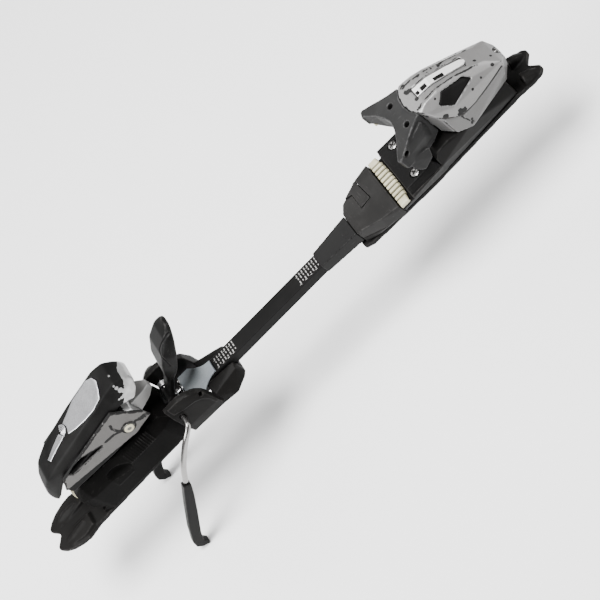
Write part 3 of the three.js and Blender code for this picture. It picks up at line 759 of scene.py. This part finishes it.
def toe_housing():
    """The silver housing with its seams and paint chips, the scale window in its roof and the dark windows."""
    far_line = [(x, 12.6 - 0.075 * (x - 186), roof_height(x) + 0.35) for x in (186, 196, 207, 222, 236)]
    near_line_points = [(x, -12.9 + 0.07 * (x - 186), roof_height(x) + 0.35) for x in (186, 196, 207, 214)]
    belt = [(186.5, 21.6, 71), (190, 23.5, 66), (194.6, 25.6, 60.6), (200, 27.2, 55.6), (206, 28.7, 51.2),
            (217, 26.4, 47.0), (225, 24.1, 45.4), (240, 19.7, 43.8), (255, 15.4, 43.2)]
    cuts = groove(far_line, 0.6) + groove(near_line_points, 0.5) + groove(belt, 1.0, both=True)
    opening = [(211.2, -11.4, 73.7), (218.4, -11.6, 70.7), (218.4, -13.2, 69.9), (211.2, -13.4, 72.7)]
    rims = [tube([a, b], 0.5, 8) for a, b in zip(opening, opening[1:] + opening[:1])]
    roof_chips = [(189.1, 13.4, 76.5, 3.4), (190.3, 5.6, 76.7, 4.4), (188.6, 7.6, 76.8, 3.4),
                  (191.6, -5.8, 76.8, 3.2), (203.7, 10.6, 76.0, 2.0), (200.8, 11.6, 76.4, 1.6),
                  (210.5, 8.4, 74.2, 1.8), (214.8, 9.4, 72.6, 1.6), (220.3, 8.2, 70.3, 2.4),
                  (222.6, 9.2, 69.4, 1.8), (230.5, 9.6, 65.4, 2.0), (189, -13.9, 76.6, 2.4),
                  (201.6, -16.9, 73.9, 1.5)]
    nose_chips = [(235.3, 13.8, 59.0, 2.6), (242.2, 10.6, 58.2, 3.0), (242.6, -5.0, 58.7, 2.2),
                  (253.9, -5.5, 49.9, 2.0), (250.2, -14.1, 51.2, 2.6), (237.3, -18.1, 54.2, 1.8)]
    right_chips = [(208.1, -27.7, 53.3, 5.4), (211.2, -27.2, 51.9, 3.8), (197.6, -25.7, 60.3, 3.8),
                   (187.5, -19.4, 69.0, 2.6), (226.7, -21.9, 55.6, 1.9), (208.3, -28.4, 35.9, 3.4),
                   (209.6, -28.2, 38.6, 2.4)]
    left_chips = [(207.7, 28.4, 52.6, 3.4), (197.6, 25.7, 60.3, 3.4)]
    chips = roof_chips + nose_chips + right_chips + left_chips

    def side_shade(co):
        """1 below the belt line: painted shade that darkens the lower sides."""
        return np.interp(co[:, 0], [p[0] for p in belt], [p[2] for p in belt]) - co[:, 2]

    edges = [[(186.5, 21, 71), (190, 23.5, 66), (200, 27.2, 55.6), (206, 28.7, 51.2)],
             [(189, 13.5, 76.6), (203, 11.4, 76.2), (222, 10, 69.6), (242, 9.6, 58.4)],
             [(186.4, 14, 76.6), (186, 19.6, 70)], [(206, 28.7, 50), (208, 28.4, 36)]]

    def rim(co):
        """1 at the chips and along the worn edges of both sides."""
        lines = [line for edge in edges for line in (edge, flipped(edge))]
        near = np.min([near_line(co, line) for line in lines], axis=0)
        return np.maximum(blots(chips)(co), 0.95 - near / 2.2)

    moulding("toe_housing", SILVER, 0.55, 5, adds=rims, cuts=cuts, masks={"rim": rim, "side_shade": side_shade})

    stations = [(193, 4.7), (200, 4.6), (207, 4.4), (214.5, 4.2),
                (222, 4), (229, 3.7), (234.6, 3.4), (237.4, 1.2)]
    insert = [hull([(x + lap, y, roof_height(x) + z) for (x, half), lap in ((a, -0.05), (b, 0.05))
                    for y in (-half, half) for z in (-1.6, 0.05)]) for a, b in zip(stations, stations[1:])]
    window = to_object("scale_window_skin", merged_bm(insert))
    melt(window, 0.35, 2)
    mark_edges(window)
    finish_piece(window, "scale_window", BRIGHT)
    marks = []
    for x0, x1, y0, y1 in ((210.6, 219, -4.0, -0.2), (198.4, 204, -4.1, 0.4), (193.4, 196.4, -4.3, -0.5)):
        corners = [(x0, y0), (x1, y0), (x1, y1), (x0, y1)]
        marks.append(slab(corners, lambda x, y: roof_height(x), -0.9, 0.32))
    crisp("scale_window_marks", merged_bm(marks), "scale_window", DARK_GLASS, 0.15, 1)
    for side, s in SIDES:
        moulding("side_window_" + side, DARK_GLASS, 0.4, 3)


def toe_inside():
    """What is inside the toe housing: piston, spring, seat, release screw and the cup's post."""
    z = TOE_SPRING_Z
    steel_piece("toe_piston", (218.6, 0, z), (230, 0, z),
                [(0, 4.6), (0.4, 5.2), (1.4, 5.2), (1.8, 4.9), (1.81, 2.2), (11, 2.2), (11.4, 1.8)])
    spring("toe_spring", coil("x", 221.8, 234.6, (0, z), 4.3, 0.8, 4))
    steel_piece("toe_spring_seat", (236, 0, z), (238.4, 0, z),
                [(0, 4.5), (0.3, 4.9), (2.1, 4.9), (2.4, 4.5)])
    low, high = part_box("toe_release_screw")
    radius = (high.z - low.z) / 2 * PER_METRE
    screw = slot_screw((241.6, 0, z), (260.4, 0, z), threaded(16.4, radius) + [(18.8, radius - 0.4)],
                       box(258.6, 262, -0.6, 0.6, z - 6, z + 6))
    rename(screw, "toe_release_screw_skin")
    machined(screw, 0.1, 1)
    finish_piece(screw, "toe_release_screw", STEEL)
    profile = [(0, 2.6), (0.4, 3), (8, 3), (8.2, 2.8), (28, 2.8), (28.2, 3), (36.4, 3), (36.8, 2.6)]
    post = to_object("toe_pivot_post_skin", turned((CUP_AXIS_X, 0, 31.6), (CUP_AXIS_X, 0, 68.4), profile))
    machined(post, 0.1, 1)
    finish_piece(post, "toe_pivot_post", STEEL)


def toe_base():
    """The carriage, its covers and latch, and the stand plate with its two screws."""
    crack = groove([(175.8, -25.9, 37), (177.2, -25.8, 31), (175.6, -26.2, 27)], 0.35)
    crack += groove([(177.2, -25.8, 31), (180.6, -25.6, 26.5)], 0.35)
    moulding("toe_carriage", BLACK_BODY, 0.65, 7, cuts=crack)

    arcs = groove([(105.6, 0.4, 26.9), (108, -2.6, 26.9), (110.5, -9, 27)], 0.3)
    moulding("nose_cover", TOE_BLACK, 0.5, 10, cuts=arcs)
    moulding("nose_latch", TOE_BLACK, 0.45, 5)
    moulding("tail_cover", GLOSS, 0.5, 5)
    plate_groove = groove([(134, -22.4, 31.9), (163, -22, 31.9)], 0.35)
    rib = hull([(x, -24.4 + 1.7 * math.cos(a), 29.6 + 1.7 * math.sin(a)) for x in (132.8, 149)
                for a in spread((0, 2 * math.pi), 13)])
    moulding("afd_plate", BLACK, 0.5, 4, adds=[rib], cuts=plate_groove)
    for side, s in SIDES:
        screw = cross_screw((147, s * 18.5), 4.6, 14, 32)
        rename(screw, "afd_screw_" + side + "_skin")
        machined(screw, 0.1, 1)
        finish_piece(screw, "afd_screw_" + side, STEEL)


def afd_band():
    """Nine cream slats and two plain ends on a dark tray."""
    tray = hull(mirrored([(119.6, 28, 20.3), (128.4, 28, 20.3), (130.6, 6, 20.3),
                          (119.6, 28, 23.6), (128.4, 28, 23.6), (130.6, 6, 23.6)]))
    crisp("afd_tray", tray, "afd_band", BLACK, 0.2, 1)
    pitch, count = 4.75, 9
    solids = []
    for i in range(count):
        y = (i - (count - 1) / 2) * pitch
        reach = 130.9 - 1.3 * (abs(y) / 24) ** 2
        solids.append(hull([(x, y + dy, z) for x, dy, z in [
            (119.6, 1.62, 22), (119.6, -1.62, 22), (reach, 1.62, 21.6), (reach, -1.62, 21.6),
            (119.8, 1.62, 24.6), (119.8, -1.62, 24.6), (reach, 1.62, 24), (reach, -1.62, 24),
            (120.6, 1.2, 25.4), (120.6, -1.2, 25.4), (reach - 1.2, 1.2, 25.5), (reach - 1.2, -1.2, 25.5)]]))
    for s in (1, -1):
        solids.append(hull([(x, s * y, z) for x, y, z in [
            (119.6, 21.8, 21.6), (129.2, 21.8, 21.6), (128.2, 28.5, 21.6), (119.6, 28.5, 21.6),
            (119.8, 21.8, 24.6), (129.2, 21.8, 24.6), (128.2, 28.5, 24.2), (119.8, 28.5, 24.2),
            (120.6, 22.4, 25.4), (128.4, 22.4, 25.4), (127.2, 27.6, 25), (120.6, 27.6, 25)]]))
    slats = to_object("afd_band_skin", merged_bm(solids))
    melt(slats, 0.36, 3)
    mark_edges(slats)
    finish_piece(slats, "afd_band", CREAM)


# ---------------------------------------------------------------- heel piece
LEVER_TOP = [(-260, 55), (-257.4, 62), (-252, 70.6), (-244, 78.2),
             (-228, 85.4), (-188, 96.2), (-150, 105.2), (-138, 105.6)]


def lever_height(x, y=0.0):
    return float(np.interp(x, [p[0] for p in LEVER_TOP], [p[1] for p in LEVER_TOP])) - 0.0016 * y * y


def heel_carriage():
    """The carriage with its oval pockets, fine upright ribs and the arches over the track."""
    rib_section = ((24.2, 33.2), (25.7, 33.8), (23.2, 33.4), (19.9, 45), (21.5, 44.4), (18.8, 44.4))
    fills, pockets, ribs, arches = [], [], [], []
    for s in (1, -1):
        fills.append(hull([(x, s * y, z) for x in (-214.4, -196.6)
                           for y, z in ((19, 23), (24.4, 23), (24.3, 34), (23.9, 36.4), (19, 36.4))]))
        pockets.append(ellipsoid((-203.4, s * 27.4, 36.4), (13.6, 9.0, 7.0), math.radians(22)))
        for x in spread((-189, -161), 12):
            ribs.append(hull([(x + dx, s * y, z) for dx in (-0.6, 0.6) for y, z in rib_section]))
        arches.append(cylinder((-262, s * 14.4, 13), (-238, s * 14.4, 13), 6.2))
    moulding("heel_carriage", HEEL_BLACK, 0.62, 6, adds=fills + ribs, cuts=pockets + arches)


def heel_housing():
    """The black housing, bare silver at its front, and the jaw."""
    def bare(co):
        return 0.5 + (co[:, 0] + 152.5) / 5

    moulding("heel_housing", LEVER_SKIN, 0.55, 5, masks={"bare": bare})
    moulding("heel_jaw", JAW_SILVER, 0.4, 3, gain=1.5)


def lever():
    """The lever with its torn front edge, the silver inlay and lip, and the ridged key."""
    inlay = [(-158.7, 13.6), (-151.8, 9.4), (-149.0, 2.9), (-151.2, -4.4), (-155.2, -12.4), (-165.9, -14.2),
             (-177, -12.8), (-189.5, -9.6), (-199.4, -5.2), (-197.4, 1.6), (-199.6, 7.6), (-180, 13.2)]
    lip = [(-208.6, 4.6), (-204.6, -2.4), (-217, -3.8), (-229.6, -5.3), (-231.4, -1.0), (-220, 2.0)]
    fill = slab([(-150.4, -12.3), (-150.4, 12.3), (-200.4, 12.3), (-200.4, -12.3)], lever_height, -6, -0.05)
    fill_groove = slab([(-199, -3.6), (-199, 3.6), (-231, 3.6), (-231, -3.6)], lever_height, -6, -0.05)
    wide = [(x + (0.5 if x > -160 else 0), y * 1.035) for x, y in inlay]
    pocket = slab(wide, lever_height, -1.3, 4)
    crease = groove([(-144, 7, 106.1), (-147.6, 2, 106.2), (-150.6, -8, 105.4), (-153.6, -15.1, 103.9)], 0.35)
    edge_line = groove([(-139, 11.6, 105.9), (-150, 13.6, 105.2), (-188, 14, 96.4), (-228, 12.6, 85.4)], 0.3)

    tears = [(-137, -16.5, 93, 3.6), (-138.4, -16.2, 97, 2.9), (-138.8, -14.8, 100.6, 2.1),
             (-138.9, -13.8, 103.4, 1.3), (-140, -18, 91, 3.0), (-142.6, -18.4, 92, 2.0),
             (-145, -18.7, 93.2, 1.3)]

    def bare(co):
        x, y, z = co.T
        border = np.interp(z, [74, 86, 90, 93, 96.5, 101], [-150, -147.5, -141, -137, -133.4, -129.4])
        score = 0.5 + (x - border) / 6.0 - np.clip((y - 2) / 8, 0, 2)
        for spot in tears:
            score = np.maximum(score, 1.25 - np.linalg.norm(co - np.array(spot[:3]), axis=1) / spot[3])
        dot = np.linalg.norm(co - np.array((-137.4, -3.6, 105.2)), axis=1)
        return np.maximum(score, 1.4 - dot / 1.1)

    moulding("heel_lever", LEVER_SKIN, 0.5, 3, soft=30, adds=[fill, fill_groove],
             cuts=[pocket] + crease + edge_line, masks={"bare": bare})
    plate = slab(inlay, lever_height, -1.25, 0.3)
    obj = to_object("lever_inlay_skin", plate)
    melt(obj, 0.4, 5)
    mark_edges(obj)
    finish_piece(obj, "lever_inlay", SATIN)
    strip = to_object("lever_lip", slab(lip, lever_height, -0.8, 0.45))
    melt(strip, 0.35, 3)
    mark_edges(strip)
    finish_piece(strip, "lever_inlay", SATIN)
    ridges = []
    for i, radius in enumerate((2.2, 4.0, 5.6, 7.0)):
        arc = []
        for a in spread((-1.25, 1.25), 9):
            x = -206.4 + radius * math.cos(a)
            y = 3.2 + radius * math.sin(a) * 0.9
            arc.append((x, y, lever_height(x, y) + 0.35))
        ridges.append(tube(arc, 0.55, 8))
    key = merged_bm(ridges)
    obj = to_object("lever_key_skin", key)
    obj.data.shade_smooth()
    finish_piece(obj, "lever_key", SATIN)


def side_plates():
    """Painted plates with ragged black borders and the dark lines that run from the rivet."""
    outline = [(-143, 57.5), (-144, 68.5), (-158.4, 93.5), (-190.4, 86.5), (-231, 77.5), (-239.4, 64.5),
               (-192.4, 57.5), (-163.4, 53), (-143, 57.5)]
    crack_a = [(-168.3, 83), (-170.1, 78.6), (-169.6, 71.5), (-167, 68)]
    crack_b = [(-183.3, 73.0), (-174, 72), (-168.2, 68.4), (-162.3, 66),
               (-154.3, 65.4), (-149, 62.8), (-143, 59.4)]
    slot_shape = [(-188.5, 73.2), (-206.7, 80.6), (-216, 80.2), (-226, 76.8), (-223, 73.2), (-207.8, 74.0)]

    def rim(co):
        flat = co[:, [0, 2]]
        border = 1.5 - near_line(flat, outline[1:6]) / 2.0
        low = 1.1 - near_line(flat, outline[5:]) / 1.6
        lines = np.maximum(1.7 - near_line(flat, crack_a) / 1.2, 1.7 - near_line(flat, crack_b) / 1.3)
        front = 1.5 - near_line(flat, [(-150.5, 63.4), (-146, 61.4)]) / 3.0
        ring = 1.15 - np.abs(np.linalg.norm(flat - np.array(PIN), axis=1) - 6.2) / 1.3
        around = 1.5 - near_line(flat, slot_shape[:2]) / 1.8
        return np.maximum.reduce([border, low, lines, front, ring, around])

    for side, s in SIDES:
        y0, y1 = sorted((s * 19, s * 24))
        moulding("side_plate_" + side, PLATE_SILVER, 0.42, 3, cuts=[prism(slot_shape, "y", y0, y1)],
                 masks={"rim": rim}, gain=0.7)


def heel_metal():
    """The pivot pin with its rivet heads, and the springs and screws of the heel."""
    z = HEEL_SPRING_Z
    pin_x, pin_z = PIN
    rivet = [(0, 2.2), (0.5, 4.6), (1.2, 5), (1.7, 4.7), (1.75, 3)]
    y = 24.6
    profile = rivet + [(2 * y - s, r) for s, r in reversed(rivet)]
    steel_piece("heel_pivot_pin", (pin_x, -y, pin_z), (pin_x, y, pin_z), profile, DARK_STEEL)
    for side, s in SIDES:
        section = [(0, 4.2), (0.5, 4.2), (0.75, 3.7), (0.78, 2.1), (0.2, 1.8)]
        ring = turned((pin_x, s * (y - 0.5), pin_z), (pin_x, s * (y + 0.4), pin_z), section)
        crisp("rivet_ring_" + side, ring, "heel_pivot_pin", CREAM, 0.08, 1)
    steel_piece("heel_piston", (-176.4, 0, z), (-174.2, 0, z), [(0, 5.6), (0.3, 6), (1.9, 6), (2.2, 5.6)])
    spring("heel_spring", coil("x", -218, -178.4, (0, z), 4.8, 0.9, 8))
    steel_piece("heel_spring_seat", (-223, 0, z), (-220, 0, z), [(0, 5.6), (0.3, 6), (2.7, 6), (3, 5.6)])
    screw = slot_screw((-227, 0, z), (-238.4, 0, z), threaded(9.6, 3.1) + [(11.4, 2.8)],
                       box(-239, -237.2, -0.5, 0.5, z - 4, z + 4))
    rename(screw, "heel_release_screw_skin")
    machined(screw, 0.08, 1)
    finish_piece(screw, "heel_release_screw", STEEL)
    z = PRESSURE_SPRING_Z
    spring("pressure_spring", coil("x", -213, -189, (0, z), 4.9, 0.9, 5))
    shaft = threaded(30, 3.8, 4.0, 0.7) + [(30.4, 6.0), (31, 6.4), (34.4, 6.4), (35, 5.8)]
    worm = slot_screw((-217, 0, z), (-252, 0, z), shaft, box(-254, -250.6, -5, 5, z - 0.7, z + 0.7))
    rename(worm, "pressure_screw_skin")
    machined(worm, 0.15, 2)
    finish_piece(worm, "pressure_screw", CREAM)


# ---------------------------------------------------------------- brake
def brake_base():
    """The saddle with its raised cheek bands, and the steel plate on it."""
    crease = [(-133.6, 25, 38.8), (-123.9, 26.1, 36.1), (-113.4, 26.2, 33.7), (-108.3, 26.3, 29.9),
              (-105.1, 27, 24.5), (-104.2, 27.8, 15.5)]
    crest = [(-134, 22.6, 46.2), (-123, 23, 46.2), (-113.6, 23.2, 43.2),
             (-106.4, 23.6, 36), (-103.4, 24.6, 28), (-102.6, 26.6, 16)]
    bands = []
    for s in (1, -1):
        ends = [[(x, s * (y + out), z + 0.35 * out) for x, y, z in pair for out in (1.0, -2.4)]
                for pair in zip(crease, crest)]
        bands += [hull(a + b) for a, b in zip(ends, ends[1:])]
    cuts = [tube([(-107.4, s * 21.4, 31.6), (-105.6, s * 28, 35)], 2.4, 4) for s in (1, -1)]
    seam = [(-75.5, 11, 13.4), (-82, 16.2, 13.2), (-90, 20, 13.4), (-101, 22.6, 14.2)]
    cuts += groove(seam, 0.45, both=True)
    moulding("brake_housing", BLACK_BODY, 0.55, 5, adds=bands, cuts=cuts)
    obj = to_object("brake_plate_skin", cad_copy("brake_plate", True))
    lift = [hull([(x, y, z) for x in (-91.2, -89.7) for y in (-6, 6) for z in (18.2, 19.8)])]
    carve(obj, lift)
    machined(obj, 0.3, 2)
    finish_piece(obj, "brake_plate", ZINC)


def brake_levers():
    """What turns on the brake's axis: pedal, link wires, two rod arms and their spades."""
    axis_x, axis_z = BRAKE_AXIS
    crease = [(-76.7, -9.9, 96.9), (-82.2, -10.3, 96.9), (-88.6, -8.8, 93.3), (-95, -7.7, 88.2),
              (-97.5, -11.2, 86), (-98.2, -14.8, 82.4), (-99.7, -16.7, 74.4)]
    moulding("brake_pedal", BLACK, 0.5, 3, soft=14, cuts=groove(crease, 0.9), gain=1.3)
    spring("brake_spring", coil("y", 9.6, 16.4, BRAKE_AXIS, 4.2, 0.8, 4))
    links = [tube(smooth_path([(-111.6, -9, 47), (-115.8, -9, 38.6), (-119.6, -9, 31)], 4), 1.0, 12),
             tube(smooth_path([(-119.4, -9, 40.4), (-123.2, -9, 35.2), (-127, -9, 30)], 4), 0.8, 12)]
    wires = to_object("brake_links", merged_bm(links))
    wires.data.shade_smooth()
    finish_piece(wires, "brake_pedal", STEEL)
    path = [(axis_x, y, axis_z) for y in (8.4, 20, 31)]
    path += [(-133, 37.5, 29.4), (-142, 40.6, 24.4), (-156, 41.6, 12), (-167, 42, 0.5), (-178, 42, -14.5)]
    for side, s in SIDES:
        line = smooth_path([(x, s * y, z) for x, y, z in path], 7)
        radii = [2.2] + [2.5] * (len(line) - 2) + [2.3]
        arm = to_object("brake_arm_" + side + "_skin", tube(line, radii, 24))
        arm.data.shade_smooth()
        finish_piece(arm, "brake_arm_" + side, STEEL)
        moulding("brake_tip_" + side, BLACK, 0.45, 14)


ski_parts()
scale_marks()
toe_cup()
toe_housing()
toe_inside()
toe_base()
afd_band()
heel_carriage()
heel_housing()
lever()
side_plates()
heel_metal()
brake_base()
brake_levers()


# ---------------------------------------------------------------- floor, light and camera
def floor():
    """A pale floor just under the lowest point."""
    lowest = cad_bounds[0][2]
    bm = bmesh.new()
    bmesh.ops.create_grid(bm, x_segments=2, y_segments=2, size=14)
    obj = to_object("floor", bm, 1.0)
    obj.location.z = lowest - 0.0005
    s = Shade("floor")
    tone = s.noise(3, 2)
    obj.data.materials.append(s.set(colour=s.mix(tone, grey(0.90), grey(0.93)), rough=0.9))


def lamp(name, place, size, power, target=(0, 0, 0.02)):
    data = bpy.data.lights.new(name, "AREA")
    data.shape = "DISK"
    data.size = size
    data.energy = power
    obj = link(name, data)
    obj.location = place
    obj.rotation_euler = (Vector(target) - Vector(place)).to_track_quat("-Z", "Y").to_euler()


def studio():
    world = bpy.data.worlds.new("studio")
    bpy.context.scene.world = world
    world.use_nodes = True
    back = world.node_tree.nodes["Background"]
    back.inputs["Color"].default_value = (1, 1, 1, 1)
    back.inputs["Strength"].default_value = 0.3
    lamp("key", (0.1, -0.2, 1.9), 0.9, 88)
    lamp("left", (-1.4, -0.3, 1.1), 1.0, 46)
    lamp("right", (1.5, -0.1, 0.9), 0.9, 14)
    lamp("back", (-0.4, 1.1, 1.3), 1.3, 12)


def camera():
    """The view that was fitted to the ski's edges: its place, its three axes and its focal length."""
    data = bpy.data.cameras.new("camera")
    data.sensor_width = 36
    data.lens = 107.28
    obj = link("camera", data)
    right, up, back = (0.6898, -0.4509, -0.5665), (0.6938, 0.6354, 0.3391), (0.2071, -0.6269, 0.7511)
    turn = Matrix((right, up, back)).transposed().to_4x4()
    obj.matrix_world = Matrix.Translation((0.3079, -0.9336, 1.1166)) @ turn
    bpy.context.scene.camera = obj


floor()
studio()
camera()
